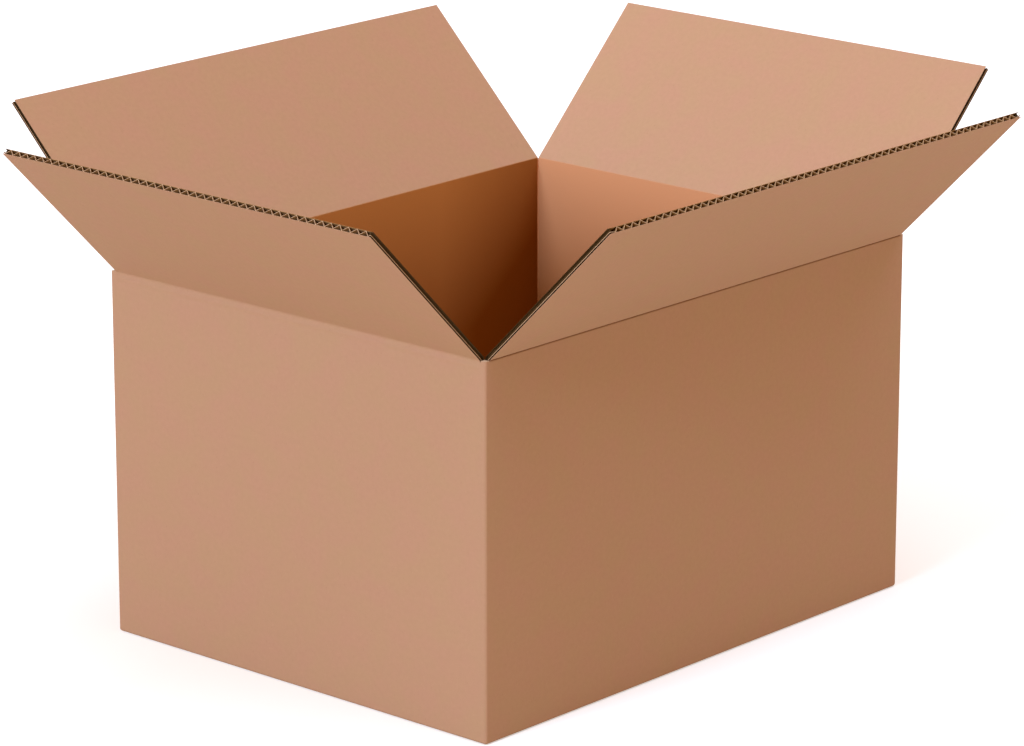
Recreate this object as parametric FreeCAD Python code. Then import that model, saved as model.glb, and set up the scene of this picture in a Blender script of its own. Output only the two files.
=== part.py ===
import FreeCAD, Part
import os
from math import asin, atan2, ceil, cos, radians, sin, sqrt

# Open corrugated carton, standing on its floor with its four top flaps folded outwards.
# It is one folded and glued blank: the walls and floor are one piece, and each top flap
# turns on its own crease. Millimetres, Z up, X along the length, origin under the middle.

# Overall sizes
LENGTH = 457.0             # outside, along X
WIDTH = 357.0              # outside, along Y
HEIGHT = 270.5             # underside to the creases of the top flaps
FLAP_DEPTH = 148.3         # crease to free edge of a top flap
OPEN_ANGLE = 45.0          # degrees that a top flap leans out from upright
SIDE_FLAP_LIMIT = 150.0    # degrees from upright at which a side flap hangs furthest out

# Corrugated board
BOARD = 4.2                # whole thickness
LINER = 0.4                # each outer paper
MEDIUM = 0.36              # the fluted paper between the liners
FLUTE_PITCH = 7.8
CRUSHED_STRIP = 9.0        # beside a crease the flutes are pressed shut

# Folds, cuts and seams
WALL_FOLD_RADIUS = 3.0
FLOOR_FOLD_RADIUS = 3.0
INNER_FOLD_RADIUS = 1.0
SLOT_CLEARANCE = 0.4       # a shut flap's cut side to the wall beside it
CREASE_CLEARANCE = 0.3     # between two boards that turn about one crease
STACK_CLEARANCE = 0.3      # a shut side flap over a shut end flap
SWING_CLEARANCE = 0.2      # a hanging side flap to the pressed rim of its wall
FLOOR_SEAM = 0.6           # where the two outer floor flaps meet
FLOOR_END_SLIT = 0.5       # outer floor flap's cut end to the foot of the end wall
TAB_SEAM = 0.3             # open joint beside the fold of the glue tab
GLUE_TAB_WIDTH = 35.0
GLUE_TAB_TAPER = 12.0
GLUE_TAB_TOP_ROOM = 4.0    # a shut end flap passes over the tab

# Cutting tools reach this far past the face they cut
PAST = 5.0

FLAP_INSET = BOARD + SLOT_CLEARANCE
END_FLAP_WIDTH = WIDTH - 2.0 * FLAP_INSET
SIDE_FLAP_WIDTH = LENGTH - 2.0 * FLAP_INSET
FLOOR_FLAP_DEPTH = (WIDTH - FLOOR_SEAM) / 2.0


def prism(points, origin, direction):
    """Extrude a closed outline of corner points along a direction."""
    corners = [origin + point for point in points]
    wire = Part.makePolygon(corners + [corners[0]])
    return Part.Face(wire).extrude(direction)


def block(low, high):
    """Box between two opposite corners."""
    size = high - low
    return Part.makeBox(size.x, size.y, size.z, low)


def side_flap_pivot():
    """Pivot of a side flap as inward and upward offsets from its wall's outer top edge.

    The root is rounded to half the board about this point. Shut, the flap lies over a shut
    end flap; leaning out at rest, its outer face starts at the wall's outer top edge.
    """
    half = BOARD / 2.0
    lift = BOARD + STACK_CLEARANCE - half
    lean = radians(OPEN_ANGLE)
    inward = (half - lift * sin(lean)) / cos(lean)
    return inward, lift


def pressed_rim():
    """Width and depth of the bevel that clears a side flap at its furthest angle."""
    inward, lift = side_flap_pivot()
    limit = radians(SIDE_FLAP_LIMIT)
    reach = BOARD / 2.0 + SWING_CLEARANCE
    rim_width = inward - (reach - lift * sin(limit)) / cos(limit)
    rim_depth = (reach - inward * cos(limit)) / sin(limit) - lift
    return rim_width, rim_depth


def folded_block():
    """Outside of the carton: three folded upright edges and folded bottom edges."""
    body = block(FreeCAD.Vector(-LENGTH / 2, -WIDTH / 2, 0), FreeCAD.Vector(LENGTH / 2, WIDTH / 2, HEIGHT))
    upright = []
    for edge in body.Edges:
        middle = edge.BoundBox.Center
        at_glued_corner = middle.x < 0 and middle.y > 0
        if edge.BoundBox.ZLength > HEIGHT / 2 and not at_glued_corner:
            upright.append(edge)
    body = body.makeFillet(WALL_FOLD_RADIUS, upright)
    bottom = [edge for edge in body.Edges if edge.BoundBox.ZMax < FLOOR_FOLD_RADIUS / 2]
    return body.makeFillet(FLOOR_FOLD_RADIUS, bottom)


def cavity():
    """Inside of the carton, with the step between the inner floor flaps."""
    inner_x = LENGTH / 2 - BOARD
    inner_y = WIDTH / 2 - BOARD
    room = block(FreeCAD.Vector(-inner_x, -inner_y, 2 * BOARD), FreeCAD.Vector(inner_x, inner_y, HEIGHT + PAST))
    corners = [edge for edge in room.Edges if edge.BoundBox.ZLength > HEIGHT / 2]
    room = room.makeFillet(INNER_FOLD_RADIUS, corners)
    step_x = LENGTH / 2 - FLOOR_FLAP_DEPTH
    if step_x <= 0:
        return room
    step = block(FreeCAD.Vector(-step_x, -inner_y, BOARD), FreeCAD.Vector(step_x, inner_y, 3 * BOARD))
    return room.fuse(step)


def floor_cuts():
    """Seam between the outer floor flaps and the slits at their cut ends."""
    end_x = LENGTH / 2 - BOARD
    cuts = [block(FreeCAD.Vector(-end_x, -FLOOR_SEAM / 2, -PAST), FreeCAD.Vector(end_x, FLOOR_SEAM / 2, BOARD))]
    slit_y = WIDTH / 2 - BOARD
    for low_x in (-end_x, end_x - FLOOR_END_SLIT):
        low = FreeCAD.Vector(low_x, -slit_y, -PAST)
        cuts.append(block(low, FreeCAD.Vector(low_x + FLOOR_END_SLIT, slit_y, BOARD)))
    return cuts


def tab_groove():
    """Open joint on the back wall where it folds in beside the raw edge of the end wall."""
    left = -LENGTH / 2 + BOARD
    back = WIDTH / 2
    radius = WALL_FOLD_RADIUS
    turn = asin(1.0 - TAB_SEAM / radius)
    bend_end = FreeCAD.Vector(left + TAB_SEAM, back - radius * (1.0 - cos(turn)), -PAST)
    bend_middle = FreeCAD.Vector(left + radius * (1.0 - sin(turn / 2)), back - radius * (1.0 - cos(turn / 2)), -PAST)
    bend_start = FreeCAD.Vector(left + radius, back, -PAST)
    outside_right = FreeCAD.Vector(left + radius, back + PAST, -PAST)
    outside_left = FreeCAD.Vector(left, back + PAST, -PAST)
    foot = FreeCAD.Vector(left, bend_end.y, -PAST)
    edges = [Part.Arc(bend_end, bend_middle, bend_start).toShape()]
    route = [bend_start, outside_right, outside_left, foot, bend_end]
    for first, second in zip(route, route[1:]):
        edges.append(Part.makeLine(first, second))
    return Part.Face(Part.Wire(edges)).extrude(FreeCAD.Vector(0, 0, HEIGHT + 2 * PAST))


def glue_tab():
    """Tab of the back wall, folded in and glued to the inside of the left end wall."""
    fold_y = WIDTH / 2 - BOARD
    edge_y = fold_y - GLUE_TAB_WIDTH
    low_z = 2 * BOARD
    high_z = HEIGHT - BOARD - GLUE_TAB_TOP_ROOM
    outline = [
        FreeCAD.Vector(0, fold_y, low_z),
        FreeCAD.Vector(0, fold_y, high_z),
        FreeCAD.Vector(0, edge_y, high_z - GLUE_TAB_TAPER),
        FreeCAD.Vector(0, edge_y, low_z + GLUE_TAB_TAPER),
    ]
    return prism(outline, FreeCAD.Vector(-LENGTH / 2 + BOARD, 0, 0), FreeCAD.Vector(BOARD, 0, 0))


def end_rim_cut():
    """Mitre on the rim of the left end wall, which a shut end flap folds against."""
    tip = CREASE_CLEARANCE / sqrt(2.0)
    half_width = WIDTH / 2 - BOARD
    outline = [
        FreeCAD.Vector(-PAST, 0, PAST - tip),
        FreeCAD.Vector(BOARD + PAST, 0, -BOARD - PAST - tip),
        FreeCAD.Vector(BOARD + PAST, 0, PAST),
        FreeCAD.Vector(-PAST, 0, PAST),
    ]
    origin = FreeCAD.Vector(-LENGTH / 2, -half_width, HEIGHT)
    return prism(outline, origin, FreeCAD.Vector(0, 2 * half_width, 0))


def side_rim_cut():
    """Pressed bevel along the outside of the front wall's rim."""
    rim_width, rim_depth = pressed_rim()
    half_length = SIDE_FLAP_WIDTH / 2 + SLOT_CLEARANCE / 2
    slope = rim_depth / rim_width
    outline = [
        FreeCAD.Vector(0, -PAST, -rim_depth - PAST * slope),
        FreeCAD.Vector(0, rim_width + PAST, PAST * slope),
        FreeCAD.Vector(0, -PAST, PAST * slope),
    ]
    origin = FreeCAD.Vector(-half_length, -WIDTH / 2, HEIGHT)
    return prism(outline, origin, FreeCAD.Vector(2 * half_length, 0, 0))


def turned(shape, degrees):
    """Copy turned about the upright middle line of the carton."""
    copy = shape.copy()
    copy.rotate(FreeCAD.Vector(0, 0, 0), FreeCAD.Vector(0, 0, 1), degrees)
    return copy


def carton():
    """Walls, glued floor and glue tab, as one folded blank."""
    cuts = [cavity(), tab_groove()] + floor_cuts()
    for rim_cut in (end_rim_cut(), side_rim_cut()):
        cuts.append(rim_cut)
        cuts.append(turned(rim_cut, 180))
    shell = folded_block()
    for cut in cuts:
        shell = shell.cut(cut)
    return shell.fuse(glue_tab()).removeSplitter()


def flute_tunnels(width, outer_y, low_z, high_z):
    """Triangular tunnels between the liners, alternately against the inner and the outer one."""
    core = BOARD - 2.0 * LINER
    half_pitch = FLUTE_PITCH / 2.0
    slant = atan2(core, half_pitch)
    half_base = half_pitch - MEDIUM / (2.0 * sin(slant))
    rise = core - MEDIUM / (2.0 * cos(slant))
    last = ceil(width / 2.0 / half_pitch)
    tunnels = []
    for step in range(-last, last + 1):
        middle = step * half_pitch
        if step % 2 == 0:
            base_y, apex_y = outer_y + LINER, outer_y + LINER + rise
        else:
            base_y, apex_y = outer_y + BOARD - LINER, outer_y + BOARD - LINER - rise
        outline = [
            FreeCAD.Vector(middle - half_base, base_y, 0),
            FreeCAD.Vector(middle + half_base, base_y, 0),
            FreeCAD.Vector(middle, apex_y, 0),
        ]
        tunnels.append(prism(outline, FreeCAD.Vector(0, 0, low_z), FreeCAD.Vector(0, 0, high_z - low_z)))
    return Part.makeCompound(tunnels)


def end_flap_section():
    """Upright section of an end flap: a plate with a mitred root, pivoting on its outer face."""
    tip = CREASE_CLEARANCE / sqrt(2.0)
    face_y = -LENGTH / 2
    points = [
        FreeCAD.Vector(0, face_y, HEIGHT + tip),
        FreeCAD.Vector(0, face_y, HEIGHT + FLAP_DEPTH),
        FreeCAD.Vector(0, face_y + BOARD, HEIGHT + FLAP_DEPTH),
        FreeCAD.Vector(0, face_y + BOARD, HEIGHT + tip + BOARD),
    ]
    wire = Part.makePolygon(points + [points[0]])
    return Part.Face(wire), FreeCAD.Vector(0, face_y, HEIGHT), face_y, HEIGHT + FLAP_DEPTH


def side_flap_section():
    """Upright section of a side flap: a plate whose root is rounded about its pivot."""
    inward, lift = side_flap_pivot()
    lean = radians(OPEN_ANGLE)
    half = BOARD / 2.0
    crease_below = lift * cos(lean) - inward * sin(lean)
    pivot = FreeCAD.Vector(0, -WIDTH / 2 + inward, HEIGHT + lift)
    top = pivot.z + FLAP_DEPTH - crease_below
    outer_root = pivot + FreeCAD.Vector(0, -half, 0)
    inner_root = pivot + FreeCAD.Vector(0, half, 0)
    outer_top = FreeCAD.Vector(0, outer_root.y, top)
    inner_top = FreeCAD.Vector(0, inner_root.y, top)
    edges = [
        Part.makeLine(outer_root, outer_top),
        Part.makeLine(outer_top, inner_top),
        Part.makeLine(inner_top, inner_root),
        Part.Arc(inner_root, pivot + FreeCAD.Vector(0, 0, -half), outer_root).toShape(),
    ]
    return Part.Face(Part.Wire(edges)), pivot, outer_root.y, top


def top_flap(section, width, heading):
    """Flap with open flutes, leaning out from the wall that faces the given way."""
    face, pivot, outer_y, top = section
    plate = face.copy()
    plate.translate(FreeCAD.Vector(-width / 2, 0, 0))
    plate = plate.extrude(FreeCAD.Vector(width, 0, 0))
    tunnels = flute_tunnels(width, outer_y, HEIGHT + CRUSHED_STRIP, top + PAST)
    flap = plate.cut(tunnels)
    flap.rotate(pivot, FreeCAD.Vector(1, 0, 0), OPEN_ANGLE)
    return turned(flap, heading)


def main():
    os.makedirs("parts", exist_ok=True)
    pieces = {
        "carton": carton(),
        "front_side_flap": top_flap(side_flap_section(), SIDE_FLAP_WIDTH, 0),
        "back_side_flap": top_flap(side_flap_section(), SIDE_FLAP_WIDTH, 180),
        "left_end_flap": top_flap(end_flap_section(), END_FLAP_WIDTH, -90),
        "right_end_flap": top_flap(end_flap_section(), END_FLAP_WIDTH, 90),
    }
    for name, shape in pieces.items():
        shape.exportStep("parts/" + name + ".step")


main()
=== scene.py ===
"""Open corrugated carton: folded walls, glued floor, four creased flaps and a plain stage."""
from math import ceil, cos, pi, radians, sin, tan

import bmesh
import bpy
from bpy.props import FloatProperty, FloatVectorProperty, PointerProperty
from mathutils import Matrix, Vector


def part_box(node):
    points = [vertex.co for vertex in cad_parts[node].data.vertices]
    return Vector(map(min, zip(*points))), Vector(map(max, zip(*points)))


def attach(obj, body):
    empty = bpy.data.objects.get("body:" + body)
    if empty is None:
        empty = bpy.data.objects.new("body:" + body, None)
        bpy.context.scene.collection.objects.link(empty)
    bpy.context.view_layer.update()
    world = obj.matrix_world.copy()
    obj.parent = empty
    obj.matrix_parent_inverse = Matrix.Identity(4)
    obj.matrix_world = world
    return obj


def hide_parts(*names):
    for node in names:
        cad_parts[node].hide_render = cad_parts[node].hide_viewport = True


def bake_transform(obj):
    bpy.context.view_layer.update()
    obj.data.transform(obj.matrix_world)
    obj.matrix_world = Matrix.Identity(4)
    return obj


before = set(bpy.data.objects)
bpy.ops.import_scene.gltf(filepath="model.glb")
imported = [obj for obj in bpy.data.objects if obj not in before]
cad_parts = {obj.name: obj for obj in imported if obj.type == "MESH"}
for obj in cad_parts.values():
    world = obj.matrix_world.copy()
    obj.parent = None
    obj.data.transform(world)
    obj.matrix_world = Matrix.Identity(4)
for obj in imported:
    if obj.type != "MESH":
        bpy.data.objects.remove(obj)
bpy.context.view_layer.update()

bl_info = {
    "name": "Corrugated Carton",
    "version": (1, 0, 0),
    "blender": (4, 5, 0),
    "location": "View3D > Sidebar > Carton",
    "description": "Builds an open corrugated carton with creased flaps and a plain stage",
    "category": "Object",
}

# Sizes taken from the frame, in metres, and the flaps' lean at rest
CARTON_HIGH = Vector(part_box("carton")[1])
HALF_LENGTH = CARTON_HIGH.x
HALF_WIDTH = CARTON_HIGH.y
CREASE_HEIGHT = CARTON_HIGH.z
SIDE_FLAP_LOW, SIDE_FLAP_HIGH = (Vector(corner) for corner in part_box("front_side_flap"))
END_FLAP_HIGH = Vector(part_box("left_end_flap")[1])
LEAN = radians(45.0)
FLAP_DEPTH = (-HALF_WIDTH - SIDE_FLAP_LOW.y) / sin(LEAN)

# Directions in the upright section of the front wall: Y runs inwards and Z upwards
ALONG_FLAP = Vector((0.0, -sin(LEAN), cos(LEAN)))
INTO_FLAP = Vector((0.0, cos(LEAN), sin(LEAN)))

# Sides of the carton, anticlockwise from above
FRONT, RIGHT, BACK, LEFT = range(4)

# Material slots of every board piece, in the order they are appended
FACE, INNER, EDGE, INSIDE = range(4)
INNER_PAPER = "inner_liner"

# The paper's map, in metres: steps that keep its parts apart, and side numbers past the four walls
PAPER_MAP = "board"
SIDE_STEP = 2.0
INNER_STEP = 20.0
FLOOR_STEP = 50.0
BOTTOM_STEP = 60.0
FLOOR_SIDES = 20
TAB_SIDE = 30

# Painted shade kept on the vertices: along the crease's pressed line and on the board's insides behind the
# side cuts
PAINTED_CREASE_SHADE = "painted_crease_shade"
PAINTED_CUT_SHADE = "painted_cut_shade"

# Sockets of a Mix node that mixes colours
MIX_FACTOR, MIX_FIRST, MIX_SECOND = 0, 6, 7
MIX_RESULT = 2

# Painted bounce light and painted shade on the inner paper: places in metres, the rest as shares
PAINTED_BOUNCE_LOW = -0.0004
PAINTED_BOUNCE_HIGH = 0.0004
FLOOR_TOP = 0.015
DEEP_REACH = 0.12
DEEPEST_PAINTED_SHADE = 0.78
END_SHARE = 1.2
WALL_MARGIN = 0.001
CORNER_REACH = 0.115
CORNER_SHADE_SHARE = 0.66
FLOOR_FADE_LOW = 0.01
FLOOR_FADE_HIGH = 0.11
FLOOR_SHARE = 0.4

# Grain of the papers: repeats per metre, the span of the noise that counts, and how much of it shows
COARSE, FINE, FINEST = 2.0, 3.0, 4.0
NOISE_ROUGHNESS = 0.55
PATCH_SCALE = 34.0
PATCH_SPAN = (0.35, 0.65)
CLOUD_SCALE = 260.0
CLOUD_SPAN = (0.3, 0.7)
CLOUD_SHARE = 0.10
FIBRE_SCALES = (900.0, 380.0)
DARK_SPAN = (0.66, 0.78)
PALE_SPAN = (0.34, 0.24)
FIBRE_SHARE = 0.30
FUZZ_SCALE = 900.0
FUZZ_SPAN = (0.35, 0.7)
FUZZ_SHARE = 0.45
STREAK_SCALES = (600.0, 90.0)
STREAK_SPAN = (0.35, 0.65)
STREAK_SHARE = 0.35
GRAIN_SCALE = 1500.0
FLUTE_TRACE = 0.25
BUMP_STRENGTH = 0.12
BUMP_DEPTH = 0.0002

# Roughness and sheen of each paper
PAPER_ROUGHNESS = 0.82
FACE_SHEEN = 0.25
INNER_SHEEN = 0.08
CUT_FINISH = (0.9, 0.15)
MEDIUM_FINISH = (0.95, 0.1)

# Details of the board, in metres
BEND_ZONE = 0.004
CUT_BEND = 0.0016
CORE_INSET = 0.0014
PLUG_INSET = 0.0018
PLUG_WIDTH = 0.0006
PLUG_DROP = 0.0005
CUT_SHADE = 0.005
SLOT_GAP = 0.0004
POST_GAP = 0.00002
TAB_SEAM = 0.0003
GAP_DEPTH = 0.0012
FLOOR_SKIN = 0.0001
LINE_WIDTH = 0.0004
RIDGE_PLACE = 0.0045
RIDGE_WIDTH = 0.0013
HAIR = 0.000001

# Rows, segments and shares of the board's details
BEND_ROWS = 16
ROW_CROWDING = 1.6
RIM_ROWS = 8
RIM_ROW_STEP = 0.07
CUT_SHARE = 0.32
FOLD_SEGMENTS = 5
INNER_SEGMENTS = 4

# Share of a normal along an axis from which a face counts as level, end-on or square-on
LEVEL_NORMAL = 0.72
END_ON = 0.9
SQUARE_ON = 0.99

# Angle between two faces from which their edge is shaded sharp
SHARP_ANGLE = radians(35.0)

# Studio: places in metres, spreads as angles
FLOOR_REACH = 30.0
FLOOR_DROP = 0.0003
KEY_PLACE = (-2.8, 0.0, 1.7)
KEY_SPREAD = radians(22.0)
TOP_PLACE = (0.45, -0.66, 3.2)
TOP_SPREAD = radians(55.0)


class CartonSizes(bpy.types.PropertyGroup):
    """Sizes of the board and its folds."""

    board: FloatProperty(name="Board", description="Whole thickness of the corrugated board",
                         default=0.0042, unit="LENGTH")
    liner: FloatProperty(name="Liner", description="Thickness of each outer paper",
                         default=0.0002, unit="LENGTH")
    medium: FloatProperty(name="Medium", description="Thickness of the fluted paper",
                          default=0.00036, unit="LENGTH")
    flute_pitch: FloatProperty(name="Flute pitch", description="Distance from flute to flute",
                               default=0.0078, unit="LENGTH")
    crushed_strip: FloatProperty(name="Crushed strip",
                                 description="Board beside a crease with its flutes pressed shut",
                                 default=0.009, unit="LENGTH")
    fold_radius: FloatProperty(name="Fold radius",
                               description="Outer radius of the upright and bottom folds",
                               default=0.0022, unit="LENGTH")
    inner_radius: FloatProperty(name="Inner radius", description="Radius inside the upright folds",
                                default=0.0008, unit="LENGTH")
    rim_strip: FloatProperty(name="Rim strip", description="Top of a wall made with its flap's crease",
                             default=0.009, unit="LENGTH")
    side_bend: FloatProperty(name="Side crease bend",
                             description="Outer bend radius at a side flap's crease",
                             default=0.0007, unit="LENGTH")
    end_bend: FloatProperty(name="End crease bend", description="Outer bend radius at an end flap's crease",
                            default=0.0035, unit="LENGTH")
    inside_bend: FloatProperty(name="Inside bend",
                               description="Bend radius of the inner liner over a crease",
                               default=0.0012, unit="LENGTH")
    groove: FloatProperty(name="Crease groove",
                          description="Depth of the pressed line at a side flap's crease",
                          default=0.0006, unit="LENGTH")
    ridge: FloatProperty(name="Crease ridge",
                         description="Height of the soft ridge below an end flap's crease",
                         default=0.0005, unit="LENGTH")
    seam: FloatProperty(name="Floor seam", description="Gap between the two outer floor flaps",
                        default=0.0006, unit="LENGTH")
    slit: FloatProperty(name="Floor slit", description="Gap at the cut ends of the outer floor flaps",
                        default=0.0005, unit="LENGTH")
    tab_width: FloatProperty(name="Glue tab", description="Width of the glue tab",
                             default=0.035, unit="LENGTH")
    tab_taper: FloatProperty(name="Tab taper", description="Slope at each end of the glue tab",
                             default=0.012, unit="LENGTH")
    tab_room: FloatProperty(name="Tab room", description="Room over the tab for a shut end flap",
                            default=0.0082, unit="LENGTH")


class CartonColours(bpy.types.PropertyGroup):
    """Colours of the papers and the stage."""

    face: FloatVectorProperty(name="Liner", description="Outer paper",
                              subtype="COLOR", size=3, default=(0.42, 0.212, 0.108), min=0.0, max=1.0)
    ochre: FloatVectorProperty(name="Ochre", description="Yellower patches of the outer paper",
                               subtype="COLOR", size=3, default=(0.41, 0.220, 0.104), min=0.0, max=1.0)
    inner: FloatVectorProperty(name="Inner liner", description="Paper inside the carton",
                               subtype="COLOR", size=3, default=(0.49, 0.250, 0.125), min=0.0, max=1.0)
    inner_ochre: FloatVectorProperty(name="Inner ochre", description="Yellower patches of the inner paper",
                                     subtype="COLOR", size=3, default=(0.475, 0.260, 0.120),
                                     min=0.0, max=1.0)
    # Painted bounce light: lighter, warmer inner paper on the end walls below the creases
    painted_bounce: FloatVectorProperty(name="Warm tone", description="Inner paper of the end walls",
                              subtype="COLOR", size=3, default=(0.70, 0.303, 0.116), min=0.0, max=1.0)
    # Painted bounce light and painted shade: warmer, darker inner paper on the side walls below the creases
    side: FloatVectorProperty(name="Side tone", description="Inner paper of the side walls",
                              subtype="COLOR", size=3, default=(0.59, 0.248, 0.06), min=0.0, max=1.0)
    # Painted shade: dark brown that deepens towards the bottom and the bottom corners inside
    painted_deep_shade: FloatVectorProperty(name="Deep tone", description="Inner paper near the bottom corners",
                              subtype="COLOR", size=3, default=(0.20, 0.046, 0.0), min=0.0, max=1.0)
    fleck: FloatVectorProperty(name="Fleck", description="Dark fibres in the outer paper",
                               subtype="COLOR", size=3, default=(0.25, 0.115, 0.05), min=0.0, max=1.0)
    # Painted shade in the pressed line of a side flap's crease
    crease: FloatVectorProperty(name="Crease line", description="Pressed line of a side flap's crease",
                                subtype="COLOR", size=3, default=(0.19, 0.075, 0.028), min=0.0, max=1.0)
    edge: FloatVectorProperty(name="Cut edge", description="Fresh cut edges of the papers",
                              subtype="COLOR", size=3, default=(0.52, 0.31, 0.15), min=0.0, max=1.0)
    # The fluted paper's own darker brown, also used as painted shade on the liners' hidden sides and recess
    # walls
    inside: FloatVectorProperty(name="Inside",
                                description="Fluted paper and the hidden sides of the liners",
                                subtype="COLOR", size=3, default=(0.34, 0.18, 0.055), min=0.0, max=1.0)
    # Painted shade: near-black insides of the board behind a side cut
    shade: FloatVectorProperty(name="Shade", description="Insides of the board close behind a side cut",
                               subtype="COLOR", size=3, default=(0.065, 0.032, 0.008), min=0.0, max=1.0)
    floor: FloatVectorProperty(name="Floor", description="Studio floor",
                               subtype="COLOR", size=3, default=(0.78, 0.73, 0.59), min=0.0, max=1.0)


class CartonStage(bpy.types.PropertyGroup):
    """Camera and lamps."""

    azimuth: FloatProperty(name="Azimuth", description="Camera's turn about the carton",
                           default=radians(-48.27), subtype="ANGLE")
    elevation: FloatProperty(name="Elevation", description="Camera's height over the horizon",
                             default=radians(16.07), subtype="ANGLE")
    distance: FloatProperty(name="Distance", description="Camera to the point it looks at",
                            default=3.4985, unit="LENGTH")
    target: FloatVectorProperty(name="Target", description="Point that the camera looks at",
                                subtype="TRANSLATION", size=3, unit="LENGTH",
                                default=(-0.0245, -0.0204, 0.189))
    lens: FloatProperty(name="Lens", description="Focal length in millimetres",
                        default=171.17, unit="CAMERA")
    key: FloatProperty(name="Key lamp", description="Strength of the lamp on the left", default=4.0)
    top: FloatProperty(name="Top lamp", description="Strength of the lamp overhead", default=3.0)
    room: FloatProperty(name="Room light",
                        description="Strength of the light from all round", default=0.625)
    room_tint: FloatVectorProperty(name="Room tint", description="Colour of the light from all round",
                                   subtype="COLOR", size=3, default=(1.0, 0.63, 0.26), min=0.0, max=1.0)
    key_tint: FloatVectorProperty(name="Key tint", description="Colour of the lamp on the left",
                                  subtype="COLOR", size=3, default=(0.436, 0.61, 1.0), min=0.0, max=1.0)
    top_tint: FloatVectorProperty(name="Top tint", description="Colour of the lamp overhead",
                                  subtype="COLOR", size=3, default=(0.43, 0.60, 1.0), min=0.0, max=1.0)
    floor_glow: FloatProperty(name="Floor glow", description="Glow of the floor itself", default=0.15)
    floor_lift: FloatProperty(name="Floor lift", description="Glow added where the camera sees the floor",
                              default=0.22)


def sizes():
    return bpy.context.scene.carton_sizes


def colours():
    return bpy.context.scene.carton_colours


def stage_settings():
    return bpy.context.scene.carton_stage


# Materials

def add_node(tree, kind, **settings):
    """New node with the given settings."""
    node = tree.nodes.new(kind)
    for name, value in settings.items():
        setattr(node, name, value)
    return node


def paper_coordinates(tree):
    return add_node(tree, "ShaderNodeUVMap", uv_map=PAPER_MAP).outputs["UV"]


def noise(tree, place, scale, detail):
    node = add_node(tree, "ShaderNodeTexNoise")
    node.inputs["Scale"].default_value = scale
    node.inputs["Detail"].default_value = detail
    node.inputs["Roughness"].default_value = NOISE_ROUGHNESS
    tree.links.new(place, node.inputs["Vector"])
    return node.outputs["Fac"]


def stretched(tree, place, along_u, along_v):
    node = add_node(tree, "ShaderNodeMapping")
    node.inputs["Scale"].default_value = (along_u, along_v, 1.0)
    tree.links.new(place, node.inputs["Vector"])
    return node.outputs["Vector"]


def remap(tree, value, low, high, to_low=0.0, to_high=1.0):
    node = add_node(tree, "ShaderNodeMapRange")
    node.inputs["From Min"].default_value = low
    node.inputs["From Max"].default_value = high
    node.inputs["To Min"].default_value = to_low
    node.inputs["To Max"].default_value = to_high
    tree.links.new(value, node.inputs["Value"])
    return node.outputs["Result"]


def mix_colour(tree, factor, first, second):
    """Mix of two colours, each a socket or a plain value."""
    node = add_node(tree, "ShaderNodeMix", data_type="RGBA")
    tree.links.new(factor, node.inputs[MIX_FACTOR])
    for index, value in ((MIX_FIRST, first), (MIX_SECOND, second)):
        if isinstance(value, bpy.types.NodeSocket):
            tree.links.new(value, node.inputs[index])
        else:
            node.inputs[index].default_value = (*value, 1.0)
    return node.outputs[MIX_RESULT]


def maths(tree, operation, first, second=None):
    node = add_node(tree, "ShaderNodeMath", operation=operation)
    for index, value in enumerate((first, second)):
        if isinstance(value, bpy.types.NodeSocket):
            tree.links.new(value, node.inputs[index])
        elif value is not None:
            node.inputs[index].default_value = value
    return node.outputs[0]


def new_material(name, roughness, sheen):
    material = bpy.data.materials.new(name)
    material.use_nodes = True
    tree = material.node_tree
    shader = tree.nodes["Principled BSDF"]
    shader.inputs["Roughness"].default_value = roughness
    shader.inputs["Specular IOR Level"].default_value = sheen
    return material, tree, shader


def kraft_paper(name, face, ochre):
    """Unbleached kraft paper: faint mottling, short fibres and the trace of the flutes, with painted shade
    along the crease line, and painted bounce light and shade on the inner paper.
    """
    sheen = INNER_SHEEN if name == INNER_PAPER else FACE_SHEEN
    material, tree, shader = new_material(name, PAPER_ROUGHNESS, sheen)
    place = paper_coordinates(tree)
    tints = colours()
    patches = remap(tree, noise(tree, place, PATCH_SCALE, COARSE), *PATCH_SPAN)
    colour = mix_colour(tree, patches, face, ochre)
    cloud = remap(tree, noise(tree, place, CLOUD_SCALE, FINEST), *CLOUD_SPAN, 0.0, CLOUD_SHARE)
    colour = mix_colour(tree, cloud, colour, tints.fleck)
    fibres = noise(tree, stretched(tree, place, *FIBRE_SCALES), 1.0, COARSE)
    dark = remap(tree, fibres, *DARK_SPAN, 0.0, FIBRE_SHARE)
    colour = mix_colour(tree, dark, colour, tints.fleck)
    pale = remap(tree, fibres, *PALE_SPAN, 0.0, FIBRE_SHARE)
    colour = mix_colour(tree, pale, colour, tints.edge)
    # Painted shade along the pressed line of a side flap's crease
    creased = add_node(tree, "ShaderNodeAttribute", attribute_name=PAINTED_CREASE_SHADE).outputs["Fac"]
    colour = mix_colour(tree, creased, colour, tints.crease)
    # The inner paper also carries painted bounce light and painted shade
    if name == INNER_PAPER:
        colour = painted_inner_shade(tree, colour)
    tree.links.new(colour, shader.inputs["Base Color"])
    split = add_node(tree, "ShaderNodeSeparateXYZ")
    tree.links.new(place, split.inputs[0])
    turn = maths(tree, "MULTIPLY", split.outputs["X"], 2.0 * pi / sizes().flute_pitch)
    wave = maths(tree, "MULTIPLY", maths(tree, "SINE", turn), FLUTE_TRACE)
    grain = maths(tree, "ADD", wave, noise(tree, place, GRAIN_SCALE, FINE))
    bump = add_node(tree, "ShaderNodeBump")
    bump.inputs["Strength"].default_value = BUMP_STRENGTH
    bump.inputs["Distance"].default_value = BUMP_DEPTH
    tree.links.new(grain, bump.inputs["Height"])
    tree.links.new(bump.outputs["Normal"], shader.inputs["Normal"])
    return material


def outer_paper():
    return kraft_paper("outer_liner", colours().face, colours().ochre)


def inner_paper():
    return kraft_paper(INNER_PAPER, colours().inner, colours().inner_ochre)


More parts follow.
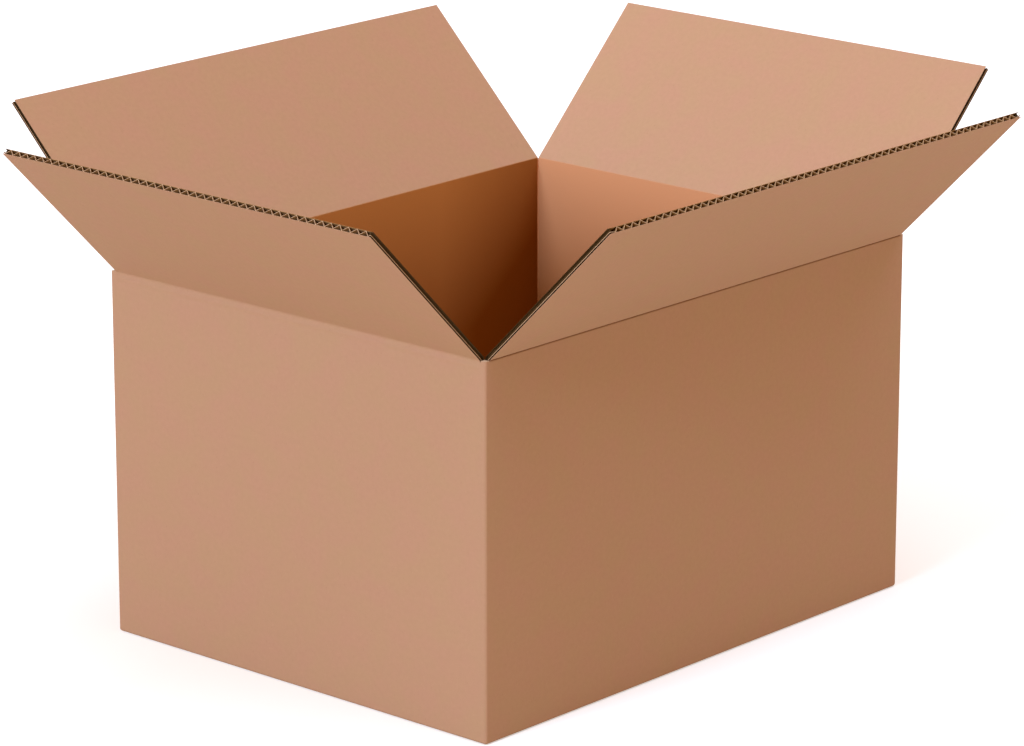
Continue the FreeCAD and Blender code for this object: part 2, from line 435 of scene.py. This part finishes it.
def painted_inner_shade(tree, colour):
    """Inner paper with painted bounce light, warmer below the creases, and painted shade, darker with depth
    and towards the side walls' ends.
    """
    place = add_node(tree, "ShaderNodeSeparateXYZ")
    tree.links.new(add_node(tree, "ShaderNodeTexCoord").outputs["Object"], place.inputs[0])
    board_place = add_node(tree, "ShaderNodeSeparateXYZ")
    tree.links.new(paper_coordinates(tree), board_place.inputs[0])
    depth = maths(tree, "MULTIPLY", board_place.outputs["Y"], -1.0)
    from_end = maths(tree, "SUBTRACT", HALF_LENGTH, maths(tree, "ABSOLUTE", place.outputs["X"]))
    on_floor = maths(tree, "LESS_THAN", place.outputs["Z"], FLOOR_TOP)
    painted_bounce = maths(tree, "MAXIMUM", remap(tree, depth, PAINTED_BOUNCE_LOW, PAINTED_BOUNCE_HIGH), on_floor)
    on_side_wall = maths(tree, "GREATER_THAN", from_end, sizes().board + WALL_MARGIN)
    painted_wall_bounce = mix_colour(tree, on_side_wall, colours().painted_bounce, colours().side)
    colour = mix_colour(tree, painted_bounce, colour, painted_wall_bounce)
    low = remap(tree, depth, PAINTED_BOUNCE_HIGH, DEEP_REACH, 0.0, DEEPEST_PAINTED_SHADE)
    low = maths(tree, "MULTIPLY", low, remap(tree, on_side_wall, 0.0, 1.0, END_SHARE, 1.0))
    corner = remap(tree, from_end, 0.0, CORNER_REACH, CORNER_SHADE_SHARE, 0.0)
    corner = maths(tree, "MULTIPLY", maths(tree, "MULTIPLY", corner, on_side_wall), painted_bounce)
    shade = maths(tree, "ADD", low, corner)
    over_floor = remap(tree, place.outputs["Z"], FLOOR_FADE_LOW, FLOOR_FADE_HIGH, FLOOR_SHARE, 1.0)
    return mix_colour(tree, maths(tree, "MULTIPLY", shade, over_floor), colour, colours().painted_deep_shade)


def cut_paper():
    """Cut edge of the papers, paler than their faces."""
    material, tree, shader = new_material("cut_edge", *CUT_FINISH)
    tints = colours()
    fuzz = noise(tree, paper_coordinates(tree), FUZZ_SCALE, FINE)
    fuzz = remap(tree, fuzz, *FUZZ_SPAN, 0.0, FUZZ_SHARE)
    tree.links.new(mix_colour(tree, fuzz, tints.edge, tints.face), shader.inputs["Base Color"])
    return material


def fluted_paper():
    """Fluted paper in a darker brown of its own, with the hidden sides of the liners in the same brown as
    painted shade.
    """
    material, tree, shader = new_material("fluted_medium", *MEDIUM_FINISH)
    tints = colours()
    streaks = noise(tree, stretched(tree, paper_coordinates(tree), *STREAK_SCALES), 1.0, COARSE)
    tone = remap(tree, streaks, *STREAK_SPAN, 0.0, STREAK_SHARE)
    colour = mix_colour(tree, tone, tints.inside, tints.fleck)
    # Painted shade: near-black close behind the side cuts
    cut_shade_amount = add_node(tree, "ShaderNodeAttribute", attribute_name=PAINTED_CUT_SHADE).outputs["Fac"]
    tree.links.new(mix_colour(tree, cut_shade_amount, colour, tints.shade), shader.inputs["Base Color"])
    return material


def board_materials():
    """The papers of the board, made once and shared."""
    made = []
    for name, maker in (("outer_liner", outer_paper), (INNER_PAPER, inner_paper),
                        ("cut_edge", cut_paper), ("fluted_medium", fluted_paper)):
        made.append(bpy.data.materials.get(name) or maker())
    return made


# Meshes

def laid_sheet(mesh, columns, rows, thickness, depth_at, shown, rim):
    """Flat sheet of paper over columns of u and rows of s.

    In the flat board X is u, along the crease; Y is s, away from it; Z is the depth from the outer face.
    Depth_at gives the depth of the sheet's deeper face. Shown is -1 where the outer face is seen, 1 where
    the inner face is and 0 inside the board.
    """
    across, along = len(columns) - 1, len(rows) - 1
    made = bmesh.ops.create_grid(mesh, x_segments=across, y_segments=along, size=0.5)["verts"]
    for vert in made:
        column = columns[round((vert.co.x + 0.5) * across)]
        row = rows[round((vert.co.y + 0.5) * along)]
        vert.co = (column, row, depth_at(column))
    before = set(mesh.faces)
    faces = faces_of(made)
    bmesh.ops.recalc_face_normals(mesh, faces=faces)
    for face in faces:
        face.normal_update()
        if face.normal.z < 0.0:
            face.normal_flip()
    bmesh.ops.solidify(mesh, geom=faces, thickness=thickness)
    for face in faces + [face for face in mesh.faces if face not in before]:
        face.normal_update()
        if abs(face.normal.x) > END_ON or abs(face.normal.y) > END_ON:
            face.material_index = rim
        elif shown and face.normal.z * shown > 0.0:
            face.material_index = INNER if shown > 0 else FACE
        else:
            face.material_index = INSIDE


def flute_columns(half_width):
    """Places across a sheet where the fluted paper meets a liner, and its two bent cut ends."""
    half_pitch = sizes().flute_pitch / 2.0
    count = ceil((half_width - CUT_BEND) / half_pitch) - 1
    inner = [number * half_pitch for number in range(-count, count + 1)]
    return [-half_width, CUT_BEND - half_width, *inner, half_width - CUT_BEND, half_width]


def flute_depth(u, half_width):
    """Depth of the fluted paper's middle at u, swinging from liner to liner in straight runs."""
    if abs(u) > half_width - CUT_BEND - HAIR:
        return sizes().board * CUT_SHARE
    half_pitch = sizes().flute_pitch / 2.0
    place = abs(u / half_pitch) % 2.0
    share = place if place <= 1.0 else 2.0 - place
    near = sizes().liner + sizes().medium / 2.0
    far = sizes().board - sizes().liner
    return near + (far - near) * share


def cut_columns(half_width):
    """Ends of a sheet and places close behind them, between which a side cut's shade fades out."""
    return [-half_width, CUT_SHADE - half_width, half_width - CUT_SHADE, half_width]


def lay_liners(mesh, half_width, rows):
    """The two outer papers of a board, laid flat."""
    liner, board = sizes().liner, sizes().board
    ends = cut_columns(half_width)
    laid_sheet(mesh, ends, rows, liner, lambda u: liner, -1, FACE)
    laid_sheet(mesh, ends, rows, liner, lambda u: board, 1, INSIDE)


def lay_board(mesh, half_width, rows):
    """Two liners and the fluted paper between them, with a plug behind each side cut that is darkened as
    painted shade.
    """
    liner, board, medium = sizes().liner, sizes().board, sizes().medium
    lay_liners(mesh, half_width, rows)
    flutes = flute_columns(half_width)
    laid_sheet(mesh, flutes, rows, medium, lambda u: flute_depth(u, half_width) + medium / 2.0, 0, EDGE)
    short = [rows[0], rows[-1] - PLUG_DROP]
    for outer in (PLUG_INSET - half_width, half_width - PLUG_INSET - PLUG_WIDTH):
        plug = [outer, outer + PLUG_WIDTH]
        laid_sheet(mesh, plug, short, board - 2.0 * liner, lambda u: board - liner, 0, INSIDE)


def lay_crushed(mesh, half_width, rows):
    """Board with its flutes pressed shut, round a solid core that stops short of the side cuts."""
    liner, board, medium = sizes().liner, sizes().board, sizes().medium
    core = [CORE_INSET - half_width, half_width - CORE_INSET]
    lay_liners(mesh, half_width, rows)
    pressed = board * CUT_SHARE + medium / 2.0
    laid_sheet(mesh, cut_columns(half_width), rows, medium, lambda u: pressed, 0, EDGE)
    laid_sheet(mesh, core, rows, board - 2.0 * liner, lambda u: board - liner, 0, INSIDE)


def shade_cuts(mesh, half_width):
    """Marks the insides of a flat board that lie close behind its side cuts, where painted shade darkens
    them.
    """
    tone = mesh.verts.layers.float.new(PAINTED_CUT_SHADE)
    for vert in mesh.verts:
        if abs(vert.co.x) > half_width - PLUG_INSET - PLUG_WIDTH - HAIR:
            vert[tone] = 1.0


def map_flat(mesh, side):
    """Writes the paper's map, in metres, while the board still lies flat."""
    layer = mesh.loops.layers.uv.new(PAPER_MAP)
    for face in mesh.faces:
        back = INNER_STEP if face.normal.z > 0.0 else 0.0
        for loop in face.loops:
            loop[layer].uv = loop.vert.co.x + SIDE_STEP * side + back, loop.vert.co.y


def on_flap(u, s, depth):
    """Place on the leaning flap, in the upright section of its wall."""
    return Vector((u, 0.0, 0.0)) + ALONG_FLAP * s + INTO_FLAP * depth


def folded(point, radius):
    """Place of a point of the flat board once it is creased, in the upright section of its wall.

    Each layer runs straight up the wall, round an arc and straight out along the flap. The arc's radius
    goes from the given one at the outer face to the inside bend at the inner face.
    """
    u, s, depth = point
    if s <= -BEND_ZONE:
        return Vector((u, depth, s))
    if s >= BEND_ZONE:
        return on_flap(u, s, depth)
    bend = radius + (sizes().inside_bend - radius) * depth / sizes().board
    straight = BEND_ZONE + (depth - bend) * tan(LEAN / 2.0)
    arc = bend * LEAN
    gone = (s + BEND_ZONE) / (2.0 * BEND_ZONE) * (2.0 * straight + arc)
    if gone <= straight:
        return Vector((u, depth, gone - BEND_ZONE))
    if gone >= straight + arc:
        return on_flap(u, BEND_ZONE - (2.0 * straight + arc - gone), depth)
    turn = (gone - straight) / bend
    return Vector((u, depth - bend + bend * cos(turn), straight - BEND_ZONE + bend * sin(turn)))


def side_frame(side):
    """Frame of a wall's crease: X along it, Y inwards and Z upwards."""
    reach = HALF_WIDTH if side in (FRONT, BACK) else HALF_LENGTH
    turn = Matrix.Rotation(side * pi / 2.0, 4, "Z")
    return turn @ Matrix.Translation((0.0, -reach, CREASE_HEIGHT))


def fold_all(mesh, side, radius):
    frame_of_side = side_frame(side)
    for vert in mesh.verts:
        vert.co = frame_of_side @ folded(vert.co, radius)


def crease_rows():
    """Rows of a crease strip, closer together towards the crease."""
    near = [BEND_ZONE * (number / BEND_ROWS) ** ROW_CROWDING for number in range(1, BEND_ROWS + 1)]
    below = [-sizes().rim_strip * (1.0 - RIM_ROW_STEP * number) for number in range(RIM_ROWS)]
    return [*below, *(-s for s in reversed(near)), 0.0, *near, sizes().crushed_strip]


def hump(distance, width):
    """Smooth rise: 1 in the middle and a half at the given width from it."""
    return 2.0 ** (-(distance / width) ** 2)


def press_line(mesh, depth):
    """Presses a line into the outer face of a flat board at its crease and darkens it with painted shade.
    """
    tone = mesh.verts.layers.float.new(PAINTED_CREASE_SHADE)
    for vert in mesh.verts:
        if vert.co.z < sizes().liner + HAIR:
            vert.co.z += depth * hump(vert.co.y, LINE_WIDTH)
            vert[tone] = hump(vert.co.y, LINE_WIDTH)


def raise_ridge(mesh, height, half_width):
    """Raises a soft ridge on the outer face just below the crease, down to nothing at its ends."""
    for vert in mesh.verts:
        if vert.co.z < HAIR and abs(vert.co.x) < half_width - HAIR:
            vert.co.z -= height * hump(vert.co.y + RIDGE_PLACE, RIDGE_WIDTH)


def meet_posts(mesh, half_width):
    """Widens the part of a flat crease strip that stays on the wall until it meets the corner posts."""
    for vert in mesh.verts:
        if vert.co.y < -WALL_MARGIN and abs(vert.co.x) > half_width - CORE_INSET - HAIR:
            vert.co.x += (SLOT_GAP - POST_GAP) * (1.0 if vert.co.x > 0.0 else -1.0)


def add_flap(node, side, half_width, radius, groove):
    """One flap: a stiff board that rides its body and a crease strip folded round the crease."""
    mesh = bmesh.new()
    lay_board(mesh, half_width, [sizes().crushed_strip, FLAP_DEPTH])
    shade_cuts(mesh, half_width)
    map_flat(mesh, side)
    fold_all(mesh, side, radius)
    board = finish_piece(mesh, node + "_board")
    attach(board, node)
    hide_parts(node)

    mesh = bmesh.new()
    lay_crushed(mesh, half_width, crease_rows())
    shade_cuts(mesh, half_width)
    map_flat(mesh, side)
    if groove > 0.0:
        press_line(mesh, groove)
    else:
        raise_ridge(mesh, sizes().ridge, half_width)
    meet_posts(mesh, half_width)
    fold_all(mesh, side, radius)
    strip = finish_piece(mesh, node + "_crease")
    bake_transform(strip)


def box_mesh(mesh, low, high):
    """Adds a box between two corners and returns its vertices."""
    verts = bmesh.ops.create_cube(mesh, size=1.0)["verts"]
    bmesh.ops.scale(mesh, vec=Vector(high) - Vector(low), verts=verts)
    bmesh.ops.translate(mesh, vec=(Vector(low) + Vector(high)) / 2.0, verts=verts)
    return verts


def faces_of(verts):
    return list({face for vert in verts for face in vert.link_faces})


def edges_of(verts):
    return list({edge for vert in verts for edge in vert.link_edges})


def is_upright(edge):
    return (edge.verts[0].co - edge.verts[1].co).normalized().z ** 2 > SQUARE_ON


def bevel(mesh, edges, offset, segments):
    bmesh.ops.bevel(mesh, geom=edges, offset=offset, segments=segments, affect="EDGES",
                    profile=0.5, material=-1, clamp_overlap=False)


def wall_place(normal, point):
    """Paper map of the walls and floor, in line with the maps of the flaps above them."""
    if abs(normal.z) > LEVEL_NORMAL:
        return point.x + (FLOOR_STEP if normal.z > 0.0 else BOTTOM_STEP), point.y
    if abs(normal.x) > abs(normal.y):
        side = RIGHT if point.x > 0.0 else LEFT
        along = point.y if side == RIGHT else -point.y
        inner = normal.x * point.x < 0.0
    else:
        side = BACK if point.y > 0.0 else FRONT
        along = point.x if side == FRONT else -point.x
        inner = normal.y * point.y < 0.0
    return along + SIDE_STEP * side + (INNER_STEP if inner else 0.0), point.z - CREASE_HEIGHT


def map_walls(mesh):
    layer = mesh.loops.layers.uv.new(PAPER_MAP)
    for face in mesh.faces:
        for loop in face.loops:
            loop[layer].uv = wall_place(face.normal, loop.vert.co)


def open_box(mesh, half_x, half_y, low_z, high_z):
    verts = box_mesh(mesh, (-half_x, -half_y, low_z), (half_x, half_y, high_z))
    mesh.normal_update()
    top = [face for face in faces_of(verts) if face.normal.z > END_ON]
    bmesh.ops.delete(mesh, geom=top, context="FACES_ONLY")
    return verts


def outer_walls(mesh, top):
    """Outside of the walls and bottom, folded at three uprights and at the bottom."""
    verts = open_box(mesh, HALF_LENGTH, HALF_WIDTH, 0.0, top)
    edges = [edge for edge in edges_of(verts) if edge.is_valid and not edge.is_boundary]
    glued = [edge for edge in edges if is_upright(edge) and edge.verts[0].co.x < 0.0 < edge.verts[0].co.y]
    bevel(mesh, [edge for edge in edges if edge not in glued], sizes().fold_radius, FOLD_SEGMENTS)


def inner_walls(mesh, top):
    """Inside of the walls down to the outer floor flaps, with its normals turned inwards."""
    half_x = HALF_LENGTH - sizes().board
    half_y = HALF_WIDTH - sizes().board
    verts = open_box(mesh, half_x, half_y, sizes().board, top)
    uprights = [edge for edge in edges_of(verts) if is_upright(edge)]
    kept = set(mesh.faces) - set(faces_of(verts))
    bevel(mesh, uprights, sizes().inner_radius, INNER_SEGMENTS)
    inside = [face for face in mesh.faces if face not in kept]
    bmesh.ops.reverse_faces(mesh, faces=inside)
    for face in inside:
        face.material_index = INNER


def cut_faces(mesh, chosen, axis, places):
    """Cuts the chosen faces at each place along an axis."""
    for place in places:
        faces = [face for face in mesh.faces if chosen(face)]
        edges = {edge for face in faces for edge in face.edges}
        verts = {vert for face in faces for vert in face.verts}
        bmesh.ops.bisect_plane(mesh, geom=[*faces, *edges, *verts], plane_co=axis * place, plane_no=axis)


def sink_faces(mesh, faces, depth):
    """Pushes flat faces into the board and leaves dark walls round them, in the inside brown as painted
    shade in the recess.
    """
    push = faces[0].normal * -depth
    made = bmesh.ops.extrude_face_region(mesh, geom=faces)["geom"]
    sunk = [item for item in made if isinstance(item, bmesh.types.BMFace)]
    verts = [item for item in made if isinstance(item, bmesh.types.BMVert)]
    bmesh.ops.translate(mesh, vec=push, verts=verts)
    for face in faces_of(verts):
        face.material_index = INSIDE
    left_over = [face for face in faces if face.is_valid and face not in sunk]
    bmesh.ops.delete(mesh, geom=left_over, context="FACES_ONLY")


def open_floor_seams(mesh):
    """Seam between the two outer floor flaps and the slits at their cut ends."""
    def on_bottom(face):
        return face.normal.z < -SQUARE_ON

    board, seam, slit = sizes().board, sizes().seam, sizes().slit
    end_x = HALF_LENGTH - board
    end_y = HALF_WIDTH - board
    cut_faces(mesh, on_bottom, Vector((0.0, 1.0, 0.0)), (-end_y, -seam / 2.0, seam / 2.0, end_y))
    cut_faces(mesh, on_bottom, Vector((1.0, 0.0, 0.0)), (-end_x, slit - end_x, end_x - slit, end_x))
    opened = []
    for face in mesh.faces:
        middle = face.calc_center_median()
        in_seam = abs(middle.y) < seam / 2.0 and abs(middle.x) < end_x
        in_slit = end_x - slit < abs(middle.x) < end_x and abs(middle.y) < end_y
        if on_bottom(face) and (in_seam or in_slit):
            opened.append(face)
    sink_faces(mesh, opened, board - FLOOR_SKIN)


def show_glued_corner(mesh):
    """Cut end of the left wall's board where the back wall folds in beside it."""
    def on_back(face):
        return face.normal.y > SQUARE_ON and face.calc_center_median().y > HALF_WIDTH - HAIR

    board, liner, medium = sizes().board, sizes().liner, sizes().medium
    across = board * CUT_SHARE
    lines = [liner, across - medium / 2.0, across + medium / 2.0, board - liner, board, board + TAB_SEAM]
    cut_faces(mesh, on_back, Vector((1.0, 0.0, 0.0)), [line - HALF_LENGTH for line in lines])
    gaps = []
    for face in mesh.faces:
        inward = face.calc_center_median().x + HALF_LENGTH
        if not on_back(face) or inward > board + TAB_SEAM:
            continue
        in_gap = lines[0] < inward < lines[1] or lines[2] < inward < lines[3] or inward > board
        face.material_index = EDGE
        if in_gap:
            gaps.append(face)
    sink_faces(mesh, gaps, GAP_DEPTH)


def close_rim(mesh):
    """Joins the two sheets of each wall along the top."""
    before = set(mesh.faces)
    bmesh.ops.bridge_loops(mesh, edges=[edge for edge in mesh.edges if edge.is_boundary])
    for face in mesh.faces:
        if face not in before:
            face.material_index = EDGE


def corner_post(mesh, sign_x, sign_y, low_z):
    """Top of one corner between two slots."""
    board = sizes().board
    inner = Vector((sign_x * (HALF_LENGTH - board), sign_y * (HALF_WIDTH - board), 0.0))
    outer = Vector((sign_x * HALF_LENGTH, sign_y * HALF_WIDTH, 0.0))
    low = Vector((min(inner.x, outer.x), min(inner.y, outer.y), low_z))
    high = Vector((max(inner.x, outer.x), max(inner.y, outer.y), CREASE_HEIGHT))
    verts = box_mesh(mesh, low, high)
    mesh.normal_update()
    for face in faces_of(verts):
        outward = face.normal.x * sign_x > END_ON or face.normal.y * sign_y > END_ON
        face.material_index = FACE if outward else EDGE
    uprights = [edge for edge in edges_of(verts) if is_upright(edge)]
    corner = [edge for edge in uprights if (edge.verts[0].co.xy - outer.xy).length < HAIR]
    if not (sign_x < 0 < sign_y):
        bevel(mesh, corner, sizes().fold_radius, FOLD_SEGMENTS)


def add_floor_flap(side):
    """Inner floor flap, lying on the two outer ones."""
    board = sizes().board
    end_y = HALF_WIDTH - board - FLOOR_SKIN
    mesh = bmesh.new()
    lay_board(mesh, end_y, [board + FLOOR_SKIN, HALF_WIDTH - sizes().seam / 2.0])
    map_flat(mesh, side + FLOOR_SIDES)
    lift = Matrix.Translation((0.0, 0.0, board + FLOOR_SKIN - CREASE_HEIGHT))
    mesh.transform(side_frame(side) @ lift)
    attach(finish_piece(mesh, "floor_flap_" + ("right" if side == RIGHT else "left")), "carton")


def add_glue_tab():
    """Tapered tab of the back wall, glued inside the left end wall."""
    board, width, taper = sizes().board, sizes().tab_width, sizes().tab_taper
    high = -sizes().tab_room
    low = 2.0 * board + 2.0 * FLOOR_SKIN - CREASE_HEIGHT
    mesh = bmesh.new()
    lay_board(mesh, width / 2.0, [low, high])
    map_flat(mesh, TAB_SIDE)
    for end, sign in ((high, 1.0), (low, -1.0)):
        everything = [*mesh.verts, *mesh.edges, *mesh.faces]
        cut = bmesh.ops.bisect_plane(mesh, geom=everything, plane_co=(-width / 2.0, end, 0.0),
                                     plane_no=(taper, width * sign, 0.0), clear_outer=True)
        edges = [item for item in cut["geom_cut"] if isinstance(item, bmesh.types.BMEdge)]
        bmesh.ops.holes_fill(mesh, edges=edges)
    shift = Matrix.Translation((width / 2.0 - (HALF_WIDTH - board - FLOOR_SKIN), board + FLOOR_SKIN, 0.0))
    stand = Matrix.Rotation(pi / 2.0, 4, "X") @ Matrix.Scale(-1.0, 4, (0.0, 0.0, 1.0))
    mesh.transform(side_frame(LEFT) @ shift @ stand)
    bmesh.ops.recalc_face_normals(mesh, faces=mesh.faces[:])
    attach(finish_piece(mesh, "glue_tab"), "carton")


def add_carton():
    """Walls, bottom and corner posts."""
    mesh = bmesh.new()
    top = CREASE_HEIGHT - sizes().rim_strip
    outer_walls(mesh, top)
    mesh.normal_update()
    open_floor_seams(mesh)
    show_glued_corner(mesh)
    inner_walls(mesh, top)
    close_rim(mesh)
    for sign_x in (-1, 1):
        for sign_y in (-1, 1):
            corner_post(mesh, sign_x, sign_y, top)
    mesh.normal_update()
    map_walls(mesh)
    carton = finish_piece(mesh, "carton_walls")
    carton.modifiers.new("even_normals", "WEIGHTED_NORMAL").keep_sharp = True
    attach(carton, "carton")
    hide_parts("carton")


def finish_piece(mesh, name):
    """Turns a bmesh into a board piece with its papers."""
    data = bpy.data.meshes.new(name)
    mesh.to_mesh(data)
    mesh.free()
    for material in board_materials():
        data.materials.append(material)
    piece = bpy.data.objects.new(name, data)
    bpy.context.collection.objects.link(piece)
    data.shade_smooth()
    data.set_sharp_from_angle(angle=SHARP_ANGLE)
    return piece


# Stage

def add_floor():
    """Pale floor that looks white to the camera but keeps the carton's shadow."""
    mesh = bmesh.new()
    bmesh.ops.create_grid(mesh, x_segments=1, y_segments=1, size=FLOOR_REACH,
                          matrix=Matrix.Translation((0.0, 0.0, -FLOOR_DROP)))
    data = bpy.data.meshes.new("studio_floor")
    mesh.to_mesh(data)
    mesh.free()
    material, tree, shader = new_material("studio_floor", 1.0, 0.0)
    shader.inputs["Base Color"].default_value = (*colours().floor, 1.0)
    shader.inputs["Emission Color"].default_value = (1.0, 1.0, 1.0, 1.0)
    path = add_node(tree, "ShaderNodeLightPath")
    settings = stage_settings()
    glow = settings.floor_glow
    lift = remap(tree, path.outputs["Is Camera Ray"], 0.0, 1.0, glow, glow + settings.floor_lift)
    tree.links.new(lift, shader.inputs["Emission Strength"])
    data.materials.append(material)
    floor = bpy.data.objects.new("studio_floor", data)
    bpy.context.collection.objects.link(floor)


def add_room_light():
    """Even light from all round, white where the camera sees it."""
    world = bpy.data.worlds.new("studio")
    world.use_nodes = True
    tree = world.node_tree
    background = tree.nodes["Background"]
    settings = stage_settings()
    path = add_node(tree, "ShaderNodeLightPath")
    seen = path.outputs["Is Camera Ray"]
    tree.links.new(mix_colour(tree, seen, settings.room_tint, (1.0, 1.0, 1.0)), background.inputs["Color"])
    tree.links.new(remap(tree, seen, 0.0, 1.0, settings.room, 1.0), background.inputs["Strength"])
    bpy.context.scene.world = world


def add_lamp(name, place, spread, strength, tint):
    """Far, soft lamp that shines from its place towards the carton."""
    lamp = bpy.data.lights.new(name, "SUN")
    lamp.angle = spread
    lamp.energy = strength
    lamp.color = tint
    holder = bpy.data.objects.new(name, lamp)
    holder.location = place
    holder.rotation_euler = (-Vector(place)).to_track_quat("-Z", "Y").to_euler()
    bpy.context.collection.objects.link(holder)


def add_camera():
    settings = stage_settings()
    target = Vector(settings.target)
    azimuth, elevation = settings.azimuth, settings.elevation
    towards = Vector((sin(azimuth) * cos(elevation), -cos(azimuth) * cos(elevation), sin(elevation)))
    camera = bpy.data.cameras.new("camera")
    camera.lens = settings.lens
    camera.dof.use_dof = False
    holder = bpy.data.objects.new("camera", camera)
    holder.location = target + towards * settings.distance
    holder.rotation_euler = (-towards).to_track_quat("-Z", "Y").to_euler()
    bpy.context.collection.objects.link(holder)
    bpy.context.scene.camera = holder
    bpy.context.scene.view_settings.view_transform = "Standard"


# Operators and panel

class CARTON_OT_walls(bpy.types.Operator):
    """Build the carton's walls, bottom and glue tab"""
    bl_idname = "carton.walls"
    bl_label = "Walls"

    def execute(self, context):
        add_carton()
        add_floor_flap(RIGHT)
        add_floor_flap(LEFT)
        add_glue_tab()
        return {"FINISHED"}


class CARTON_OT_flaps(bpy.types.Operator):
    """Build the four top flaps with their creases"""
    bl_idname = "carton.flaps"
    bl_label = "Flaps"

    def execute(self, context):
        side_half = SIDE_FLAP_HIGH.x
        end_half = END_FLAP_HIGH.y
        add_flap("front_side_flap", FRONT, side_half, sizes().side_bend, sizes().groove)
        add_flap("right_end_flap", RIGHT, end_half, sizes().end_bend, 0.0)
        add_flap("back_side_flap", BACK, side_half, sizes().side_bend, sizes().groove)
        add_flap("left_end_flap", LEFT, end_half, sizes().end_bend, 0.0)
        return {"FINISHED"}


class CARTON_OT_stage(bpy.types.Operator):
    """Set up the floor, lamps and camera"""
    bl_idname = "carton.stage"
    bl_label = "Stage"

    def execute(self, context):
        settings = stage_settings()
        add_floor()
        add_room_light()
        add_lamp("key_lamp", KEY_PLACE, KEY_SPREAD, settings.key, settings.key_tint)
        add_lamp("top_lamp", TOP_PLACE, TOP_SPREAD, settings.top, settings.top_tint)
        add_camera()
        return {"FINISHED"}


class CARTON_PT_build(bpy.types.Panel):
    """Buttons that build the carton"""
    bl_idname = "CARTON_PT_build"
    bl_label = "Carton"
    bl_space_type = "VIEW_3D"
    bl_region_type = "UI"
    bl_category = "Carton"

    def draw(self, context):
        for operator in BUILD_ORDER:
            self.layout.operator(operator.bl_idname)


BUILD_ORDER = (CARTON_OT_walls, CARTON_OT_flaps, CARTON_OT_stage)
GROUPS = (CartonSizes, CartonColours, CartonStage)


def register():
    for item in (*GROUPS, *BUILD_ORDER, CARTON_PT_build):
        bpy.utils.register_class(item)
    bpy.types.Scene.carton_sizes = PointerProperty(type=CartonSizes)
    bpy.types.Scene.carton_colours = PointerProperty(type=CartonColours)
    bpy.types.Scene.carton_stage = PointerProperty(type=CartonStage)


def unregister():
    del bpy.types.Scene.carton_sizes
    del bpy.types.Scene.carton_colours
    del bpy.types.Scene.carton_stage
    for item in reversed((*GROUPS, *BUILD_ORDER, CARTON_PT_build)):
        bpy.utils.unregister_class(item)


def main():
    register()
    bpy.ops.carton.walls()
    bpy.ops.carton.flaps()
    bpy.ops.carton.stage()


if __name__ == "__main__":
    main()
